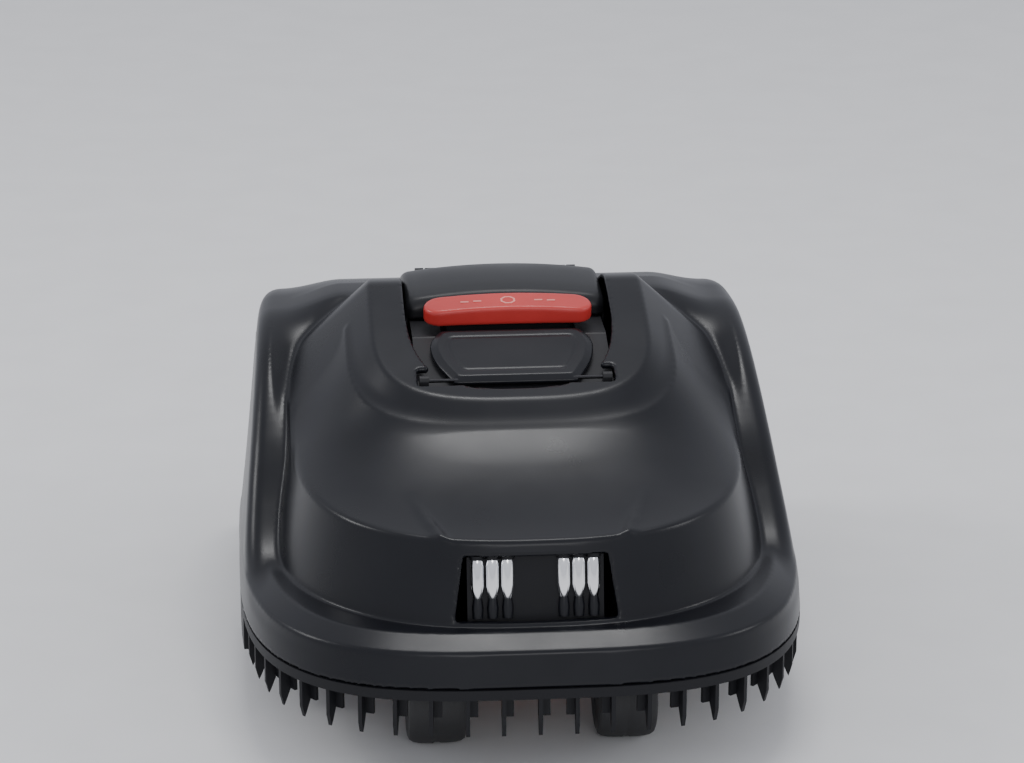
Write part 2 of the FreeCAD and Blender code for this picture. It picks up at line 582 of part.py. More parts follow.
top_front, top_rear = on_slope(-9, -9), on_slope(70, -9)
housing = profile_body("housing_block", [
    (-72, 150), (-72, round(top_front[1], 3)), (round(top_rear[0], 3), round(top_rear[1], 3)), (8, "$deck_z"),
    ("$tower_rear", "$deck_z"), ("$tower_rear", 150)], "$tower_half")
hollow = profile_body("housing_hollow", [
    (-69, 149), (-69, 214), (10, 222), (42, 222), (42, "$deck_z - 6"), (147, "$deck_z - 6"), (147, 149)],
    "$tower_half - $wall")
pin_y, pin_z = on_slope(PIN_S, PIN_N)
ears, ear_bores = [], [cylinder("flap_pin_bore", -80, pin_y, pin_z, 1.5, 160, "X")]
for side, name in SIDES:
    foot = side_box(f"flap_ear_foot_{name}", side, 67, pin_y - 4, pin_z - 14, 7, 8, 14)
    ears += [foot, cylinder(f"flap_ear_{name}", side_x(side, 67), pin_y, pin_z, 4, 7, ALONG[side])]
    ears += [cylinder(f"cover_ear_{name}", side_x(side, 59), 158, HINGE_Z, 4.5, 7, ALONG[side]),
             side_box(f"cover_ear_stem_{name}", side, 59, 154, HINGE_Z - 12, 7, 8, 12),
             side_box(f"cover_ear_foot_{name}", side, 59, 148, HINGE_Z - 12, 7, 14, 4)]
ear_bores.append(cylinder("cover_pin_bore", -80, 158, HINGE_Z, "$pin_radius", 160, "X"))
KEYS = ((-27, 120), (-9, 120), (9, 120), (27, 120))
housing_tools = [
    hollow, cylinder("knob_recess", 0, "$disc_y", 228, 27, 40),
    cylinder("screw_bore", 0, "$disc_y", 200, "$stem_radius + $fit", 40),
    box("button_well", -53, 13, 240, 106, 24, 40), box("display_window", -34, 62, 245, 68, 34, 20), *ear_bores]
housing_tools += [cylinder(f"key_hole_{i}", x, y, 240, 5.4, 30) for i, (x, y) in enumerate(KEYS)]
node(cut("cockpit_housing", fuse("housing_all", housing, *ears), *housing_tools), "cockpit_housing")
node(box("display_board", -60, 58, 240, 120, 82, 1.6), "display_board")
node(box("lcd_display", -33.5, 62.5, 241.6, 67, 33, 10.4), "lcd_display")
node(cylinder("cover_hinge_pin", -72, 158, HINGE_Z, "$pin_radius", 144, "X"), "cover_hinge_pin")
node(cylinder("flap_hinge_pin", -74, pin_y, pin_z, 1.5, 148, "X"), "flap_hinge_pin")
node(cut("stop_spring", cylinder("spring_outside", 0, 25, 240, 5, 8),
         cylinder("spring_inside", 0, 25, 239, 3.6, 15)), "stop_spring")
for i, (x, y) in enumerate(KEYS):
    node(turned(f"key_{i + 1}", [(0, 244), (6.4, 244), (6.4, 246.4), (5, 246.4), (5, 254.4), (4.4, 255), (0, 255)],
                x, y), f"key_{i + 1}")
node(turned("height_knob", [
    (6, 229), (22, 229), (24, 231), (24, 239.5), (23, 240.5), (6, 240.5)], 0, "$disc_y"), "height_knob")
node(turned("height_screw", [(0, 128), ("$stem_radius", 128), ("$stem_radius", 240.5), (0, 240.5)], 0, "$disc_y"),
     "height_screw")

# ---------------------------------------------------------------- flap, stop button and display cover
flap_plate = new_body("flap_plate", 0, FLAP_Y, FLAP_Z, (1, 0, 0), dim("slope"))
pad(flap_plate, sketch(flap_plate, "YZ_Plane", [
    (0, "0 - $flap_thick + 2"), (0, -1.5), (1.5, 0), ("$flap_len - 1.5", 0), ("$flap_len", -1.5),
    ("$flap_len", "0 - $flap_thick"), (2, "0 - $flap_thick")], "flap_profile"), "$flap_half*2", both_sides=True)
node(cut("height_flap", flap_plate, cylinder("flap_bore", -80, pin_y, pin_z, 1.5 + dim("fit"), 160, "X")),
     "height_flap")

BUTTON_Z = 261.5
button = new_body("button_solid", 0, 25, BUTTON_Z, (1, 0, 0), dim("button_tilt"))
END = 14.5
outline = [(53 + END * math.cos(math.radians(a)), END * math.sin(math.radians(a))) for a in range(-90, 91, 15)]
outline += [(-x, -y) for x, y in outline]
pad(button, sketch(button, "XY_Plane", [(round(x, 3), round(y, 3)) for x, y in outline], "button_plan"),
    "$button_height")
stem_body = new_body("button_stem", 0, 25, BUTTON_Z, (1, 0, 0), dim("button_tilt"))
pad(stem_body, sketch(stem_body, "XY_Plane", [(-50, -8), (50, -8), (50, 8), (-50, 8)], "stem_plan"), 12, back=True)
node(fuse("stop_button", button, stem_body), "stop_button")

CAP = [(48, 247.5), (48, 266), (51, 271.5), (58, 275), (75, 278.5), (95, "$cap_top"), (115, 278), (134, 271.5),
       (147, 264), (152, 258.5), (152, 254), (146, 250.5), (130, 247.5)]
CAP_INNER = [(51, 246), (51, 265), (53.5, 269.5), (59.5, 272.3), (76, 275.6), (95, "$cap_top - $wall"), (114, 275.2),
             (132.5, 269), (145, 262), (149, 257.3), (149, 253.5), (146, 249.5), (130, 246)]
cap_outer = profile_body("cap_outer", CAP, "$cap_half")
cap_hollow = profile_body("cap_hollow", CAP_INNER, "$cap_half - $wall")
cap_cuts = [box("cap_rear_cut", -77, 140, 241, 154, 20, 13), box("cap_front_cut", -77, 45, 241, 154, 10, 13)]
knuckles = []
for side, name in SIDES:
    knuckles += [cylinder(f"knuckle_{name}", side_x(side, 38), 158, HINGE_Z, 4.5, 20, ALONG[side]),
                 side_box(f"knuckle_arm_{name}", side, 38, 150, HINGE_Z - 3, 20, 8, 6)]
cap_shell = fuse("cap_all", cut("cap_shell", cap_outer, cap_hollow, *cap_cuts), *knuckles)
node(cut("display_cover", cap_shell, cylinder("knuckle_bore", -80, 158, HINGE_Z, "$pin_radius + $fit", 160, "X")),
     "display_cover")

# ---------------------------------------------------------------- checks and export
doc.recompute()
for obj in doc.Objects:
    if {"Invalid", "Error"} & set(obj.State):
        raise RuntimeError(f"{obj.Name} did not rebuild: {obj.State}")
os.makedirs("parts", exist_ok=True)
for name, obj in nodes.items():
    if obj.Shape.isNull() or not obj.Shape.isValid():
        raise RuntimeError(f"{name} has no valid shape")
    obj.Shape.exportStep(f"parts/{name}.step")
print(len(nodes), "sub-parts")
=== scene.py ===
"""Looks of a robotic lawn mower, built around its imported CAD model. Shape functions work in millimetres."""
import json
import math

import bmesh
import bpy
import numpy as np
from mathutils import Matrix, Vector


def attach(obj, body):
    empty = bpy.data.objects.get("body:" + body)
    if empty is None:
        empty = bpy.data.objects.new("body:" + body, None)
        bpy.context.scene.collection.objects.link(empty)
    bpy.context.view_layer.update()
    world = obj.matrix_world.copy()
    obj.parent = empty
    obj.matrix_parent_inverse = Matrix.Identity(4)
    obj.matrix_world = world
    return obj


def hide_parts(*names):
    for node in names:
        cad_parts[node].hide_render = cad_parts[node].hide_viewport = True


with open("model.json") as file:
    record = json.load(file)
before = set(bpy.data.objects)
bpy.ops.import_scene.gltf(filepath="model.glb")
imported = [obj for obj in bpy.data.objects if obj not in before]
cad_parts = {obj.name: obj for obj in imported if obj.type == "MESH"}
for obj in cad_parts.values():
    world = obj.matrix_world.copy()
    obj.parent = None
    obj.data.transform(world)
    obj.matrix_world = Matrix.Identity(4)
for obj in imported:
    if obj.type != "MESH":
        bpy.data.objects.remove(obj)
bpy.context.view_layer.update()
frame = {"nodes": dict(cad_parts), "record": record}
MM = 0.001
SIDES = ((-1, "left"), (1, "right"))


# ---------------------------------------------------------------- shapes from distance fields
def smooth_max(a, b, k):
    """The larger of two fields, with the crease rounded over about k millimetres."""
    h = np.clip(0.5 + 0.5 * (a - b) / k, 0, 1)
    return b * (1 - h) + a * h + k * h * (1 - h)


def smooth_min(a, b, k):
    return -smooth_max(-a, -b, k)


def curve_through(xs, ys):
    """A smooth curve through the points, as a function that gives its height and its slope."""
    xs, ys = np.array(xs, float), np.array(ys, float)
    chords = np.diff(ys) / np.diff(xs)
    tangents = np.concatenate([[chords[0]], (chords[:-1] + chords[1:]) / 2, [chords[-1]]])
    flat = np.concatenate([[False], chords[:-1] * chords[1:] <= 0, [False]])
    tangents[flat] = 0

    def at(x):
        x = np.clip(x, xs[0], xs[-1])
        i = np.clip(np.searchsorted(xs, x) - 1, 0, len(xs) - 2)
        w = xs[i + 1] - xs[i]
        t = (x - xs[i]) / w
        height = (ys[i] * (1 + 2 * t) * (1 - t) ** 2 + tangents[i] * w * t * (1 - t) ** 2
                  + ys[i + 1] * t * t * (3 - 2 * t) + tangents[i + 1] * w * t * t * (t - 1))
        slope = (6 * (ys[i + 1] - ys[i]) / w * t * (1 - t) + tangents[i] * (1 - t) * (1 - 3 * t)
                 + tangents[i + 1] * t * (3 * t - 2))
        return height, slope

    return at


def egg(x, y, half, mid, front, rear, power_front, power_rear):
    """Signed distance to an outline of two superellipse halves that meet at y = mid."""
    ahead = y < mid
    reach = np.where(ahead, front, rear)
    power = np.where(ahead, power_front, power_rear)
    u, v = np.abs(x) / half, np.abs(y - mid) / reach
    r = np.maximum(u ** power + v ** power, 1e-9) ** (1 / power)
    slope = np.hypot((u / r) ** (power - 1) / half, (v / r) ** (power - 1) / reach)
    return (r - 1) / np.maximum(slope, 1e-6)


def round_box(x, y, z, size, radius):
    """Signed distance to a box of half sizes size, with its edges rounded."""
    q = [np.abs(a) - s + radius for a, s in zip((x, y, z), size)]
    outside = np.sqrt(sum(np.maximum(a, 0) ** 2 for a in q))
    return outside + np.minimum(np.maximum.reduce(q), 0) - radius


def surface_mesh(name, field, low, high, step):
    """A mesh of the surface where field is zero: one point per grid cell that the surface crosses."""
    axes = [np.arange(a, b + step, step) for a, b in zip(low, high)]
    grid = np.meshgrid(*axes, indexing="ij", sparse=False)
    values = field(*grid).astype(np.float64)
    inside = values < 0
    shape = [n - 1 for n in values.shape]
    total = np.zeros(shape + [3])
    count = np.zeros(shape)
    corner = [(slice(0, -1), slice(1, None))[c] for c in (0, 1)]
    for axis in range(3):
        others = [a for a in range(3) if a != axis]
        for p in (0, 1):
            for q in (0, 1):
                first, second = [None] * 3, [None] * 3
                first[axis], second[axis] = corner[0], corner[1]
                first[others[0]] = second[others[0]] = corner[p]
                first[others[1]] = second[others[1]] = corner[q]
                first, second = tuple(first), tuple(second)
                crossed = inside[first] != inside[second]
                a, b = values[first][crossed], values[second][crossed]
                share = a / (a - b)
                for d in range(3):
                    start = grid[d][first][crossed]
                    total[..., d][crossed] += start + (share * step if d == axis else 0)
                count[crossed] += 1
    used = count > 0
    index = np.full(shape, -1)
    index[used] = np.arange(used.sum())
    points = total[used] / count[used][:, None]
    start = points.copy()
    for _ in range(4):
        value = field(*points.T)
        slopes = []
        for d in range(3):
            shift = np.zeros(3)
            shift[d] = 0.08
            slopes.append((field(*(points + shift).T) - field(*(points - shift).T)) / 0.16)
        slopes = np.array(slopes).T
        move = slopes * (value / np.maximum((slopes ** 2).sum(1), 0.05))[:, None]
        points = start + np.clip(points - move - start, -0.8 * step, 0.8 * step)
    quads = []
    for axis in range(3):
        b, c = [(1, 2), (2, 0), (0, 1)][axis]
        first, second = [slice(None)] * 3, [slice(None)] * 3
        first[axis], second[axis] = slice(0, -1), slice(1, None)
        crossed = inside[tuple(first)] != inside[tuple(second)]
        at = np.argwhere(crossed)
        at = at[(at[:, b] > 0) & (at[:, c] > 0) & (at[:, b] < shape[b]) & (at[:, c] < shape[c])]
        ring = []
        for db, dc in ((-1, -1), (0, -1), (0, 0), (-1, 0)):
            cell = at.copy()
            cell[:, b] += db
            cell[:, c] += dc
            ring.append(index[tuple(cell.T)])
        ring = np.stack(ring, 1)
        outward = inside[tuple(at.T)]
        ring[~outward] = ring[~outward][:, ::-1]
        quads.append(ring)
    quads = np.concatenate(quads)
    mesh = bpy.data.meshes.new(name)
    mesh.from_pydata((points * MM).tolist(), [], quads.tolist())
    mesh.polygons.foreach_set("use_smooth", np.ones(len(mesh.polygons), bool))
    mesh.update()
    obj = bpy.data.objects.new(name, mesh)
    bpy.context.scene.collection.objects.link(obj)
    return obj


def lathe(name, radius_at, stations, turns, matrix=Matrix.Identity(4)):
    """A closed skin round local Z. radius_at gives (radius, height) for a station and an angle."""
    made = bmesh.new()
    rings = []
    for i in range(stations):
        ring = []
        for j in range(turns):
            angle = 2 * math.pi * j / turns
            radius, height = radius_at(i, angle)
            corner = Vector((radius * math.cos(angle), radius * math.sin(angle), height))
            ring.append(made.verts.new(corner * MM))
        rings.append(ring)
    for low, high in zip(rings, rings[1:]):
        for j in range(turns):
            k = (j + 1) % turns
            made.faces.new((low[j], low[k], high[k], high[j]))
    made.faces.new(rings[0][::-1])
    made.faces.new(rings[-1])
    bmesh.ops.recalc_face_normals(made, faces=made.faces)
    mesh = bpy.data.meshes.new(name)
    made.to_mesh(mesh)
    made.free()
    mesh.transform(matrix)
    for face in mesh.polygons:
        face.use_smooth = True
    obj = bpy.data.objects.new(name, mesh)
    bpy.context.scene.collection.objects.link(obj)
    return obj


def turned(name, profile, turns, matrix=Matrix.Identity(4), sharp=35):
    """A turned piece from (radius, height) corners."""
    obj = lathe(name, lambda i, angle: profile[i], len(profile), turns, matrix)
    shade(obj, sharp)
    return obj


def shade(obj, degrees):
    """Marks edges sharper than this angle as sharp."""
    limit = math.radians(degrees)
    made = bmesh.new()
    made.from_mesh(obj.data)
    for edge in made.edges:
        if len(edge.link_faces) == 2:
            edge.smooth = edge.calc_face_angle() < limit
    made.to_mesh(obj.data)
    made.free()


def at(x, y, z, axis="X", degrees=0.0):
    """A place in millimetres, turned about an axis."""
    return Matrix.Translation(Vector((x, y, z)) * MM) @ Matrix.Rotation(math.radians(degrees), 4, axis)


# ---------------------------------------------------------------- materials
def material(name, color, rough=0.4, metal=0.0, grain=900.0, bump=0.04, coat=0.0, blotch=0.12, wear=0.0,
             stretch=(1, 1, 1), shine=0.5):
    """A surface with fine grain in its height, slow change in its gloss and colour, and paler worn edges."""
    mat = bpy.data.materials.new(name)
    mat.use_nodes = True
    tree = mat.node_tree
    nodes, links = tree.nodes, tree.links
    shader = nodes["Principled BSDF"]
    shader.inputs["Metallic"].default_value = metal
    shader.inputs["Specular IOR Level"].default_value = shine
    shader.inputs["Coat Weight"].default_value = coat
    shader.inputs["Coat Roughness"].default_value = 0.12
    place = nodes.new("ShaderNodeTexCoord")
    mapping = nodes.new("ShaderNodeMapping")
    mapping.inputs["Scale"].default_value = stretch
    links.new(place.outputs["Object"], mapping.inputs["Vector"])

    def noise(scale, detail):
        made = nodes.new("ShaderNodeTexNoise")
        made.inputs["Scale"].default_value = scale
        made.inputs["Detail"].default_value = detail
        links.new(mapping.outputs["Vector"], made.inputs["Vector"])
        return made

    def ranged(source, low, high, start=0.3, stop=0.7):
        made = nodes.new("ShaderNodeMapRange")
        made.inputs["From Min"].default_value = start
        made.inputs["From Max"].default_value = stop
        made.inputs["To Min"].default_value = low
        made.inputs["To Max"].default_value = high
        links.new(source, made.inputs["Value"])
        return made.outputs["Result"]

    slow, fine = noise(14, 4), noise(grain, 2)
    roughness = ranged(slow.outputs["Fac"], rough * (1 - blotch), rough * (1 + blotch))
    links.new(roughness, shader.inputs["Roughness"])
    mix = nodes.new("ShaderNodeMix")
    mix.data_type = "RGBA"
    mix.inputs["A"].default_value = (*color, 1)
    mix.inputs["B"].default_value = (*[min(1, c * (1 + 2.5 * blotch) + 0.0008) for c in color], 1)
    links.new(ranged(slow.outputs["Fac"], 0, 1), mix.inputs["Factor"])
    result = mix.outputs["Result"]
    if wear:
        geometry = nodes.new("ShaderNodeNewGeometry")
        worn = nodes.new("ShaderNodeMix")
        worn.data_type = "RGBA"
        worn.inputs["B"].default_value = (*[min(1, c * 2.2 + 0.03) for c in color], 1)
        links.new(result, worn.inputs["A"])
        links.new(ranged(geometry.outputs["Pointiness"], 0, wear, 0.53, 0.62), worn.inputs["Factor"])
        result = worn.outputs["Result"]
    links.new(result, shader.inputs["Base Color"])
    relief = nodes.new("ShaderNodeBump")
    relief.inputs["Strength"].default_value = bump
    relief.inputs["Distance"].default_value = 0.0004
    links.new(fine.outputs["Fac"], relief.inputs["Height"])
    links.new(relief.outputs["Normal"], shader.inputs["Normal"])
    return mat


BLACK_GLOSS = material("black_gloss", (0.0055, 0.006, 0.0085), 0.3, grain=1400, bump=0.05, shine=0.32)
BLACK_MATTE = material("black_matte", (0.007, 0.0072, 0.009), 0.5, grain=1100, bump=0.15, shine=0.25)
CHARCOAL = material("charcoal", (0.012, 0.0125, 0.0145), 0.38, grain=1200, bump=0.08, shine=0.35)
DARK_GREY = material("dark_grey", (0.012, 0.012, 0.014), 0.5, grain=1000, bump=0.15, shine=0.35)
DARK_STEEL = material("dark_steel", (0.035, 0.035, 0.038), 0.45, metal=1.0, grain=700, bump=0.1)
RED = material("red_button", (0.50, 0.035, 0.03), 0.38, grain=1300, bump=0.12, coat=0.1, wear=0.15)
MARK = material("red_mark", (0.72, 0.25, 0.22), 0.45, grain=1300, bump=0.1)
TYRE = material("tyre_rubber", (0.018, 0.018, 0.018), 0.68, grain=600, bump=0.5, blotch=0.2, wear=0.5)
RUBBER = material("soft_rubber", (0.022, 0.022, 0.023), 0.6, grain=900, bump=0.35, blotch=0.2, wear=0.3)
CHROME = material("chrome", (0.82, 0.83, 0.85), 0.12, metal=1.0, grain=500, bump=0.03, blotch=0.3)
STEEL = material("steel", (0.55, 0.56, 0.58), 0.32, metal=1.0, grain=260, bump=0.15, blotch=0.25,
                 stretch=(1, 1, 14))
ORANGE = material("orange_disc", (0.70, 0.16, 0.02), 0.38, grain=1000, bump=0.15, wear=0.3)
GREEN = material("board_green", (0.02, 0.13, 0.05), 0.35, grain=500, bump=0.3, coat=0.4)
GLASS = material("lcd_glass", (0.10, 0.13, 0.10), 0.1, grain=1500, bump=0.02, coat=0.6)
WHITE = material("bush_white", (0.72, 0.72, 0.70), 0.42, grain=1200, bump=0.1)
BLUE = material("battery_blue", (0.02, 0.06, 0.20), 0.34, grain=900, bump=0.1, coat=0.2)
FINISHES = {"black_gloss": BLACK_GLOSS, "black_matte": BLACK_MATTE, "charcoal": CHARCOAL,
            "dark_grey": DARK_GREY, "red_button": RED, "tyre_rubber": TYRE, "soft_rubber": RUBBER,
            "chrome": CHROME, "steel": STEEL, "orange_disc": ORANGE, "board_green": GREEN,
            "lcd_glass": GLASS, "bush_white": WHITE, "battery_blue": BLUE}
SLOTS = {mat.name: slot for slot, mat in FINISHES.items()}
SLOTS |= {"red_mark": "red_button", "dark_steel": "steel"}
slot_of = {part["node"]: part["material_slot"] for part in frame["record"]["subparts"]}
for node, obj in frame["nodes"].items():
    obj.data.materials.clear()
    obj.data.materials.append(FINISHES[slot_of[node]])


def finish(obj, body, mat, *nodes):
    """Gives a new piece its material and its body, and hides the CAD nodes that it stands for."""
    obj.data.materials.clear()
    obj.data.materials.append(mat)
    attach(obj, body)
    if nodes:
        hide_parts(*nodes)
    return obj


# ---------------------------------------------------------------- hood
WHEEL_Y, WHEEL_Z, ARCH = 165.0, 105.0, 120.0
SLOPE = math.tan(math.radians(16.5))
WALL = 6.5
FENDER = curve_through((-190, -150, -110, -70, -20, 30, 80, 120, 150, 200, 240, 268, 288),
                       (104, 110, 122, 147, 186, 218, 238, 244, 244, 234, 209, 170, 112))
BROW = curve_through((-245, -150, -30, 30, 90, 160), (177, 181, 193, 214, 244, 252))
CREST = curve_through((-110, -73, 58, 70, 86, 112, 140, 175),
                      (238 - 37 * SLOPE, 238, 277.4, 279.4, 277, 267, 253, 246))


def true_distance(field, x, y, z):
    """The field divided by how fast it changes, so that walls come out equally thick everywhere."""
    value = field(x, y, z)
    slopes = [field(x + 0.5, y, z) - value, field(x, y + 0.5, z) - value, field(x, y, z + 0.5) - value]
    return value / np.maximum(2 * np.sqrt(sum(a * a for a in slopes)), 0.6)


def hood_outside(x, y, z):
    """The hood's outer form: skirt with its ledge, nose, fenders and the horseshoe round the cockpit."""
    side = np.abs(x)
    rise = z - 82
    plan = egg(x, y, 214.6 - 0.12 * rise, -30, 256.6 - 0.22 * rise, 317.5 - 0.1 * rise, 3.3, 7)
    ledge = 108 - 0.53 * np.clip(plan, -16, 0)
    skirt = smooth_max(plan, z - ledge, 1.6)
    lean = 0.268 * (z - 115)
    wall = egg(x, y, 191 - lean, -30, 225 - lean, 195 - lean, 2.6, 2.6)
    wall = smooth_max(wall, 0.6585 * side + 0.7526 * y - 117 + 0.2 * (z - 205), 22)
    brow = BROW(y)[0]
    to_brow = egg(x, y, 172, -30, 208, 178, 2.6, 2.6)
    to_brow = smooth_max(to_brow, 0.6585 * side + 0.7526 * y - 117, 22)
    to_band = egg(x, y, 128, 10, 115, 140, 3.2, 4)
    inside = np.clip(-to_brow, 0, None)
    share = inside / np.maximum(inside + np.clip(to_band, 0, None), 1e-3)
    band = 218 + (y + 105) * 0.25
    crown = brow + (band - brow) * share
    rib = np.clip((-165 - y) / 45, 0, 1) * np.exp(-((side - 68 - 0.3 * (y + 230)) / 4.6) ** 2)
    nose = smooth_max(wall, (z - crown - 2.3 * rib) * 0.9, 3)
    crest, _ = CREST(y)
    drop = np.clip(crest - z, 0, 60)
    arms = egg(x, y, 108 + 1.1 * drop, 10, 97 + 1.9 * drop, 150 + 0.6 * drop, 3.0, 4)
    horseshoe = smooth_max(arms * 0.75, (z - crest) * 0.95, 1.6)
    height, slope = FENDER(y)
    inward = np.clip((176 - side) / 50, 0, 1)
    later = np.clip((y - 50) / 60, 0, 1) * np.clip((230 - y) / 90, 0, 1)
    valley = 24 * np.exp(-((y - 38) / 42) ** 2) * np.clip((186 - side) / 36, 0, 1)
    top = height + 13 * inward * inward * (3 - 2 * inward) * later - valley
    outer = egg(x, y, 214 - 0.125 * np.clip(z - 98, 0, None), -30, 254 - 0.4 * rise,
                317 - 0.16 * np.clip(z - 150, 0, None), 3.3, 5)
    fender = smooth_max(outer, (z - top) / np.sqrt(1 + slope ** 2), 13)
    solid = smooth_min(skirt, nose, 1.8)
    solid = smooth_min(solid, fender, 3.5)
    return smooth_min(solid, horseshoe, 5)


def hood_field(x, y, z):
    """The hood as a shell: mouth with its lining, wheel arches, contact window and notches for the ears."""
    outside = true_distance(hood_outside, x, y, z)
    side = np.abs(x)
    crest, _ = CREST(y)
    opening = egg(x, y, 81, 45, 119, 125, 3.0, 8)
    lining = egg(x, y, 86, 48, 124, 124, 6, 8)
    tube = smooth_max(lining - 3.5, np.maximum(outside, 205 - z), 1)
    shell = np.minimum(np.maximum(outside, -(outside + WALL)), tube)
    below = np.maximum(lining, np.maximum(190 - z, z - crest + 4.5))
    shell = smooth_max(shell, -np.minimum(np.maximum(opening, 190 - z), below), 1.2)
    arch = np.maximum(np.hypot(y - WHEEL_Y, z - WHEEL_Z) - ARCH, 143 - side)
    arch = np.maximum(arch, z - 226)
    shell = smooth_max(shell, -arch, 1.5)
    half = 60 - 7 * (z - 118) / 47
    window = smooth_max(smooth_max(side - half, 119 - z, 4), z - 166, 2)
    window = np.maximum(window, y + 180)
    shell = smooth_max(shell, -window, 1.2)
    slot = smooth_max(np.abs(side - 60) - 15.8, np.abs(y + 58) - 10.8, 3)
    slot = np.maximum(slot, 225 - z)
    shell = smooth_max(shell, -slot, 0.8)
    return np.maximum(shell, 82.2 - z)


STEP = 2.2
hood = surface_mesh("hood", hood_field, (-219, -292, 76), (219, 294, 286), STEP)
finish(hood, "hood", BLACK_GLOSS, "hood_shell")


# ---------------------------------------------------------------- stop bar, flap and display cover
def tilted(y, z, y0, z0, degrees):
    """Distances along and above a plane that tilts up to the rear, from a point on it."""
    c, s = math.cos(math.radians(degrees)), math.sin(math.radians(degrees))
    return (y - y0) * c + (z - z0) * s, -(y - y0) * s + (z - z0) * c


BUTTON_Y, BUTTON_Z, BUTTON_TILT = 25.0, 261.5, 10.0
BUTTON_HALF, BUTTON_RADIUS, BUTTON_HEIGHT, BUTTON_BOW = 53, 13.2, 15.6, 0.0009
MARK_HEIGHT, MARK_SINK = 0.35, 0.3
FLAP_Y, FLAP_Z, FLAP_TILT = -63.0, 241.0, 16.5


def button_field(x, y, z):
    """The stop bar: a stadium in plan, with a top that bows down to its ends."""
    along, above = tilted(y, z, BUTTON_Y, BUTTON_Z, BUTTON_TILT)
    plan = np.hypot(np.maximum(np.abs(x) - BUTTON_HALF, 0), along - 1) - BUTTON_RADIUS
    bow = BUTTON_BOW * x * x
    bar = smooth_max(plan, above - BUTTON_HEIGHT + bow, 3.5)
    return smooth_max(bar, 0.2 - above - 0.2 * bow, 2)


def stem_field(x, y, z):
    """The dark stem under the stop bar."""
    along, above = tilted(y, z, BUTTON_Y, BUTTON_Z, BUTTON_TILT)
    sides = smooth_max(np.abs(x) - 49, np.abs(along - 1) - 6.5, 2)
    return np.maximum(sides, np.maximum(above - 3, -above - 12))


button = surface_mesh("stop_bar", button_field, (-70, 5, 245), (70, 45, 283), 1.2)
finish(button, "stop_button", RED, "stop_button")
stem = surface_mesh("stop_bar_stem", stem_field, (-52, 12, 245), (52, 40, 272), 1.2)
finish(stem, "stop_button", DARK_GREY)


def plate(name, outlines, height, matrix):
    """A low raised mark, open below: a bar from one outline, or a ring from an outer and an inner one."""
    made = bmesh.new()
    rings = []
    for outline in outlines:
        low = [made.verts.new((x * MM, y * MM, -MARK_SINK * MM)) for x, y in outline]
        high = [made.verts.new((x * MM, y * MM, height * MM)) for x, y in outline]
        rings.append((low, high))
    for low, high in rings:
        for i in range(len(low)):
            j = (i + 1) % len(low)
            made.faces.new((low[i], low[j], high[j], high[i]))
    if len(rings) == 1:
        made.faces.new(rings[0][1])
    else:
        (_, outer), (_, inner) = rings
        for i in range(len(outer)):
            j = (i + 1) % len(outer)
            made.faces.new((outer[i], outer[j], inner[j], inner[i]))
    bmesh.ops.recalc_face_normals(made, faces=made.faces)
    mesh = bpy.data.meshes.new(name)
    made.to_mesh(mesh)
    made.free()
    mesh.transform(matrix)
    obj = bpy.data.objects.new(name, mesh)
    bpy.context.scene.collection.objects.link(obj)
    return obj


def octagon(radius):
    turns = [math.pi * (2 * i + 1) / 8 for i in range(8)]
    return [(radius * math.cos(turn), radius * math.sin(turn)) for turn in turns]


def bar_outline(half_length, half_width):
    return [(a * half_length, b * half_width) for a, b in ((-1, -1), (1, -1), (1, 1), (-1, 1))]


def on_button(x):
    """A place on the bar's bowed top, at x from its middle."""
    top = Matrix.Translation(Vector((x, 0, BUTTON_HEIGHT - BUTTON_BOW * x * x)) * MM)
    return at(0, BUTTON_Y, BUTTON_Z, "X", BUTTON_TILT) @ top


ring = plate("stop_mark_ring", [octagon(6.2), octagon(4.6)], MARK_HEIGHT, on_button(0))
finish(ring, "stop_button", MARK)
for k, x in enumerate((-34, -24, 24, 34)):
    bar = plate(f"stop_mark_bar_{k}", [bar_outline(3.2, 0.9)], MARK_HEIGHT, on_button(x))
    finish(bar, "stop_button", MARK)


def flap_field(x, y, z):
    """The flap: widest at its middle, with a bevelled edge and a shallow groove inside it."""
    along, above = tilted(y, z, FLAP_Y, FLAP_Z, FLAP_TILT)
    side = np.abs(x)
    outline = smooth_max(side - 63.5, 0.894 * side - 0.447 * along - 0.894 * 47, 8)
    outline = smooth_max(outline, 0.822 * side + 0.57 * along - 84.5, 6)
    outline = smooth_max(outline, np.maximum(along - 70.6, 0.6 - along), 3)
    bevel = np.clip(outline + 5.5, 0, None) * 0.55
    dish = 0.5 * np.clip(1 - np.abs(outline + 13) / 2.2, 0, 1)
    plate_top = above + bevel + dish
    return smooth_max(smooth_max(outline, plate_top, 0.8), -5.6 - above, 0.8)


flap = surface_mesh("flap", flap_field, (-67, -66, 230), (67, 9, 266), 1.1)
finish(flap, "height_flap", BLACK_GLOSS, "height_flap")

PIN_ALONG, PIN_BELOW, PIN_HALF = 4, 3, 74
FLAP_COS, FLAP_SIN = math.cos(math.radians(FLAP_TILT)), math.sin(math.radians(FLAP_TILT))
PIN_Y = FLAP_Y + PIN_ALONG * FLAP_COS + PIN_BELOW * FLAP_SIN
PIN_Z = FLAP_Z + PIN_ALONG * FLAP_SIN - PIN_BELOW * FLAP_COS
PIN_SKIN = [(0.2, 0), (1.2, 0), (1.5, 0.4),
            (1.5, 2 * PIN_HALF - 0.4), (1.2, 2 * PIN_HALF), (0.2, 2 * PIN_HALF)]
pin = turned("flap_pin", PIN_SKIN, 24, at(-PIN_HALF, PIN_Y, PIN_Z, "Y", 90))
finish(pin, "chassis", DARK_STEEL, "flap_hinge_pin")

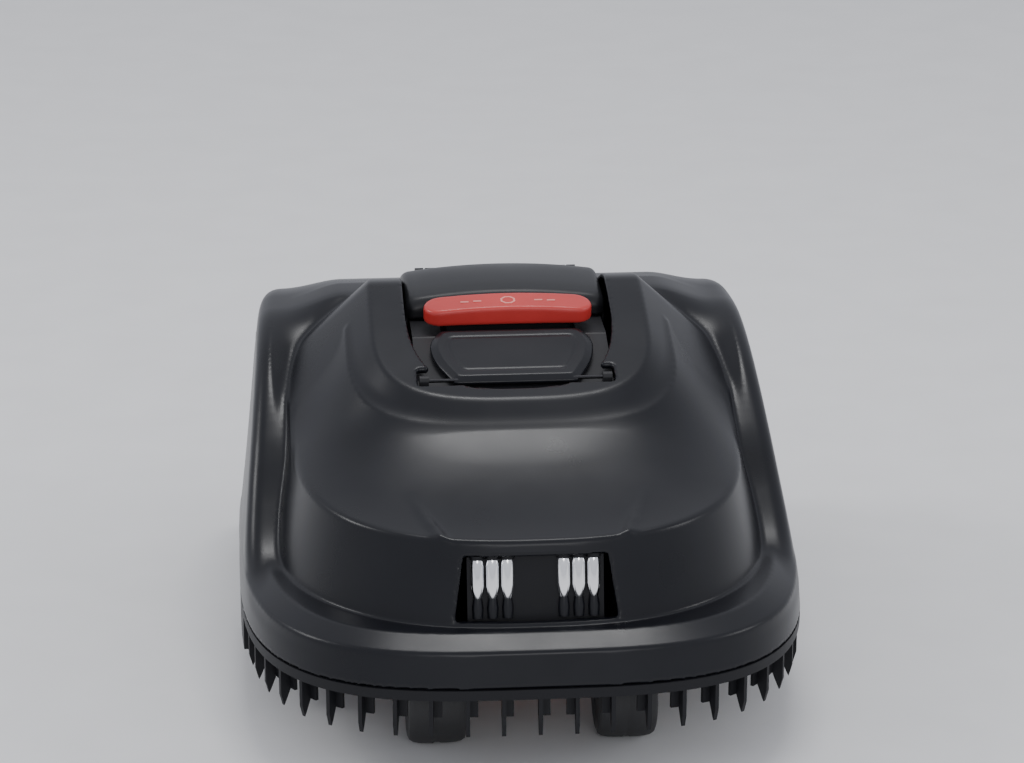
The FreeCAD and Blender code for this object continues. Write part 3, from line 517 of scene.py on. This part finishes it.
HINGE_Y, HINGE_Z, CAP_BOW, CAP_WALL = 158.0, 258.0, 0.00096, 3.2
CAP_TOP = curve_through((44, 48, 53, 62, 80, 96, 115, 134, 147, 156),
                        (268, 271.5, 274.5, 276.8, 279, 279.7, 278, 272, 265, 259))


def cap_field(x, y, z):
    """The display cover: a shell open below, its front and rear walls cut short, with two hinge knuckles."""
    side = np.abs(x)
    flank = side - 79.6 + 0.10 * (z - 262)
    front = 48.3 - y + 0.15 * np.clip(z - 262, 0, None)
    plan = smooth_max(smooth_max(flank, front, 9), y - 151.8, 6)
    top = CAP_TOP(y)[0] - CAP_BOW * side * side
    outside = smooth_max(plan, (z - top) * 0.97, 6)
    shell = np.maximum(outside, -(outside + CAP_WALL))
    notch = np.maximum(np.minimum(140 - y, y - 55), z - 254.3)
    hinge = np.hypot(y - HINGE_Y, z - HINGE_Z)
    across = np.abs(side - 48) - 10
    knuckle = np.maximum(hinge - 4.4, across)
    arm = np.maximum(np.maximum(across, np.abs(z - HINGE_Z) - 3), np.maximum(150 - y, y - HINGE_Y))
    bore = 2.1 - hinge
    body = np.maximum(np.maximum(shell, 247.6 - z), -np.maximum(notch, side - 77))
    return np.maximum(np.minimum(body, np.minimum(knuckle, arm)), bore)


cap = surface_mesh("display_cover_cap", cap_field, (-83, 44, 243), (83, 166, 284), 1.6)
finish(cap, "display_cover", CHARCOAL, "display_cover")

# ---------------------------------------------------------------- charging contacts
RIB_TILT, RIB_Y, RIB_Z = -10.95, -239.4, 131.0
RIB_SKIN = [(0.2, -3), (1.6, -1), (3.6, 3.5), (4.6, 8), (5.0, 12), (5.0, 26), (4.7, 30), (4.1, 32.5),
            (0.2, 33)]
GUIDE_SKIN = [(0.3, -13), (3.9, -12), (4.3, -4), (3.2, 3), (0.3, 5)]
TIP_SKIN = [(0.4, 30.5), (5.3, 31.5), (5.3, 34.5), (0.4, 36)]
for side, name in SIDES:
    for i, x in enumerate((20.5, 31.5, 42.5)):
        place = at(side * x, RIB_Y, RIB_Z, "X", RIB_TILT)
        rib = turned(f"contact_rib_{name}_{i}", RIB_SKIN, 28, place)
        finish(rib, "chassis", CHROME, *([f"charge_contact_{name}"] if i == 0 else []))
        guide = turned(f"contact_guide_{name}_{i}", GUIDE_SKIN, 20, place)
        finish(guide, "chassis", BLACK_GLOSS)
        tip = turned(f"contact_tip_{name}_{i}", TIP_SKIN, 20, place)
        finish(tip, "chassis", BLACK_MATTE)

# ---------------------------------------------------------------- casters
CASTER_X, CASTER_Y, CASTER_WHEEL_Y, CASTER_R = 71.0, -204.0, -188.0, 40.0
WHEEL_HALF = [(3.06, 21.8), (11, 22), (12, 20), (29, 19.5), (31, 21), (34, 22), (37, 20.8), (38.8, 18),
              (39.6, 14), (39.9, 9), (40, 3), (39.3, 1.6)]
WHEEL_SKIN = [(radius, -height) for radius, height in WHEEL_HALF] + WHEEL_HALF[::-1]


def fork_field(side):
    """The field of one caster's fork and its stem. The side is -1 for the left one."""
    def field(x, y, z):
        across, along = x - side * CASTER_X, y - CASTER_Y
        crown = round_box(across, along - 8, z - 83.2, (26.3, 23.5, 1.9), 1.5)
        leg_plan = smooth_max(np.abs(along - 16) - 8 - 0.13 * np.clip(z - 40, 0, None), 32 - z, 6)
        leg = np.maximum(np.maximum(leg_plan, z - 84), np.abs(np.abs(across) - 24.8) - 1.7)
        stem = np.maximum(np.hypot(across, along) - 6, np.maximum(82 - z, z - 127.5))
        boss = np.maximum(np.hypot(across, along) - 15.5, np.maximum(82 - z, z - 86))
        head = np.maximum(np.hypot(across, along) - 9, np.maximum(126 - z, z - 129))
        body = smooth_min(np.minimum(crown, leg), boss, 1.5)
        return np.minimum(np.minimum(body, stem), head)
    return field


for side, name in SIDES:
    skin = turned(f"caster_wheel_skin_{name}", WHEEL_SKIN, 72,
                  at(side * CASTER_X, CASTER_WHEEL_Y, CASTER_R, "Y", 90))
    finish(skin, f"caster_wheel_{name}", RUBBER, f"caster_wheel_{name}")
    low = (side * CASTER_X - 30, CASTER_Y - 20, 29)
    high = (side * CASTER_X + 30, CASTER_Y + 36, 132)
    fork = surface_mesh(f"caster_fork_skin_{name}", fork_field(side), low, high, 1.7)
    finish(fork, f"caster_{name}", BLACK_MATTE, f"caster_fork_{name}")

# ---------------------------------------------------------------- drive wheels
WHEEL_X, TREADS, TREAD_STEPS = 150.0, 24, 14
TYRE_SKIN = [(88, 1), (93, 0.3), (98, 0.8), (100.5, 3), (102, 7), (102.6, 14), (102.8, 24), (102.6, 34),
             (102, 41), (100.5, 45), (98, 47.2), (93, 47.7), (88, 47)]
BEADS = (TYRE_SKIN[0][1], TYRE_SKIN[-1][1])
HUB_SKIN = [(0.3, 38.1), (19.5, 38.1), (20, 38.8), (20, 40.6), (18.6, 42.4), (14, 44.4), (8, 45.6), (0.3, 46)]


def tyre_radius(i, angle):
    """Chevron lugs on the tread, which run out on the shoulders."""
    radius, height = TYRE_SKIN[i]
    if radius < 99:
        return radius, height
    lean = 0.09 * abs(height - 24) / 24
    phase = ((angle + lean) * TREADS / (2 * math.pi)) % 1
    lug = min(1, max(0, (0.34 - abs(phase - 0.5)) / 0.07))
    return radius - 5.5 + 7.6 * lug, height


def open_bore(tyre, side):
    """Takes off the two end caps of a tyre's skin, and joins their rims with a bore."""
    made = bmesh.new()
    made.from_mesh(tyre.data)
    bmesh.ops.delete(made, geom=[face for face in made.faces if len(face.verts) > 4], context="FACES")
    rims = []
    for bead in BEADS:
        for edge in made.edges:
            if edge.is_boundary and abs(side * edge.verts[0].co.x / MM - WHEEL_X - bead) < 3:
                rims.append(edge)
    bmesh.ops.bridge_loops(made, edges=rims)
    bmesh.ops.recalc_face_normals(made, faces=made.faces)
    made.to_mesh(tyre.data)
    made.free()


for side, name in SIDES:
    place = at(side * WHEEL_X, WHEEL_Y, WHEEL_Z, "Y", 90 * side)
    tyre = lathe(f"tyre_skin_{name}", tyre_radius, len(TYRE_SKIN), TREADS * TREAD_STEPS, place)
    open_bore(tyre, side)
    shade(tyre, 42)
    finish(tyre, f"wheel_{name}", TYRE, f"tyre_{name}")
    hub = turned(f"hub_cap_skin_{name}", HUB_SKIN, 48, place)
    finish(hub, f"wheel_{name}", BLACK_GLOSS, f"hub_cap_{name}")

# ---------------------------------------------------------------- camera, light and floor
camera = bpy.data.objects.new("camera", bpy.data.cameras.new("camera"))
bpy.context.scene.collection.objects.link(camera)
camera.data.lens = 124.03
camera.data.sensor_width = 36
camera.data.clip_end = 50
camera.location = (-0.2051, -2.6060, 1.1234)
camera.rotation_euler = Vector((0.0747, 0.94185, -0.32763)).to_track_quat("-Z", "Y").to_euler()
bpy.context.scene.camera = camera

floor_mesh = bpy.data.meshes.new("floor")
made = bmesh.new()
bmesh.ops.create_grid(made, x_segments=2, y_segments=2, size=12)
made.to_mesh(floor_mesh)
made.free()
floor = bpy.data.objects.new("floor", floor_mesh)
bpy.context.scene.collection.objects.link(floor)
FLOOR = material("floor", (0.8, 0.8, 0.8), 0.8, grain=60, bump=0.01, blotch=0.015)
floor.data.materials.append(FLOOR)


def lamp(name, place, target, size, power, size_y=None):
    """An area lamp, size by size_y metres, that faces a point."""
    light = bpy.data.lights.new(name, "AREA")
    light.shape = "RECTANGLE"
    light.size, light.size_y = size, size_y or size
    light.energy = power
    obj = bpy.data.objects.new(name, light)
    obj.location = place
    obj.rotation_euler = (Vector(target) - Vector(place)).to_track_quat("-Z", "Y").to_euler()
    bpy.context.scene.collection.objects.link(obj)


lamp("key", (-2.6, 0.4, 2.2), (-0.1, -0.05, 0.15), 0.9, 22)
lamp("right", (2.6, -0.6, 1.5), (0.1, 0, 0.15), 0.8, 10)
lamp("front", (0.2, -3.4, 1.6), (0, 0, 0.12), 1.4, 16, 0.8)
lamp("ledge_strip", (0.15, 0.55, 2.8), (0, -0.25, 0.11), 1.1, 23, 0.3)
world = bpy.data.worlds.new("studio")
bpy.context.scene.world = world
world.use_nodes = True
world.node_tree.nodes["Background"].inputs["Color"].default_value = (0.90, 0.92, 1.0, 1)
world.node_tree.nodes["Background"].inputs["Strength"].default_value = 0.75
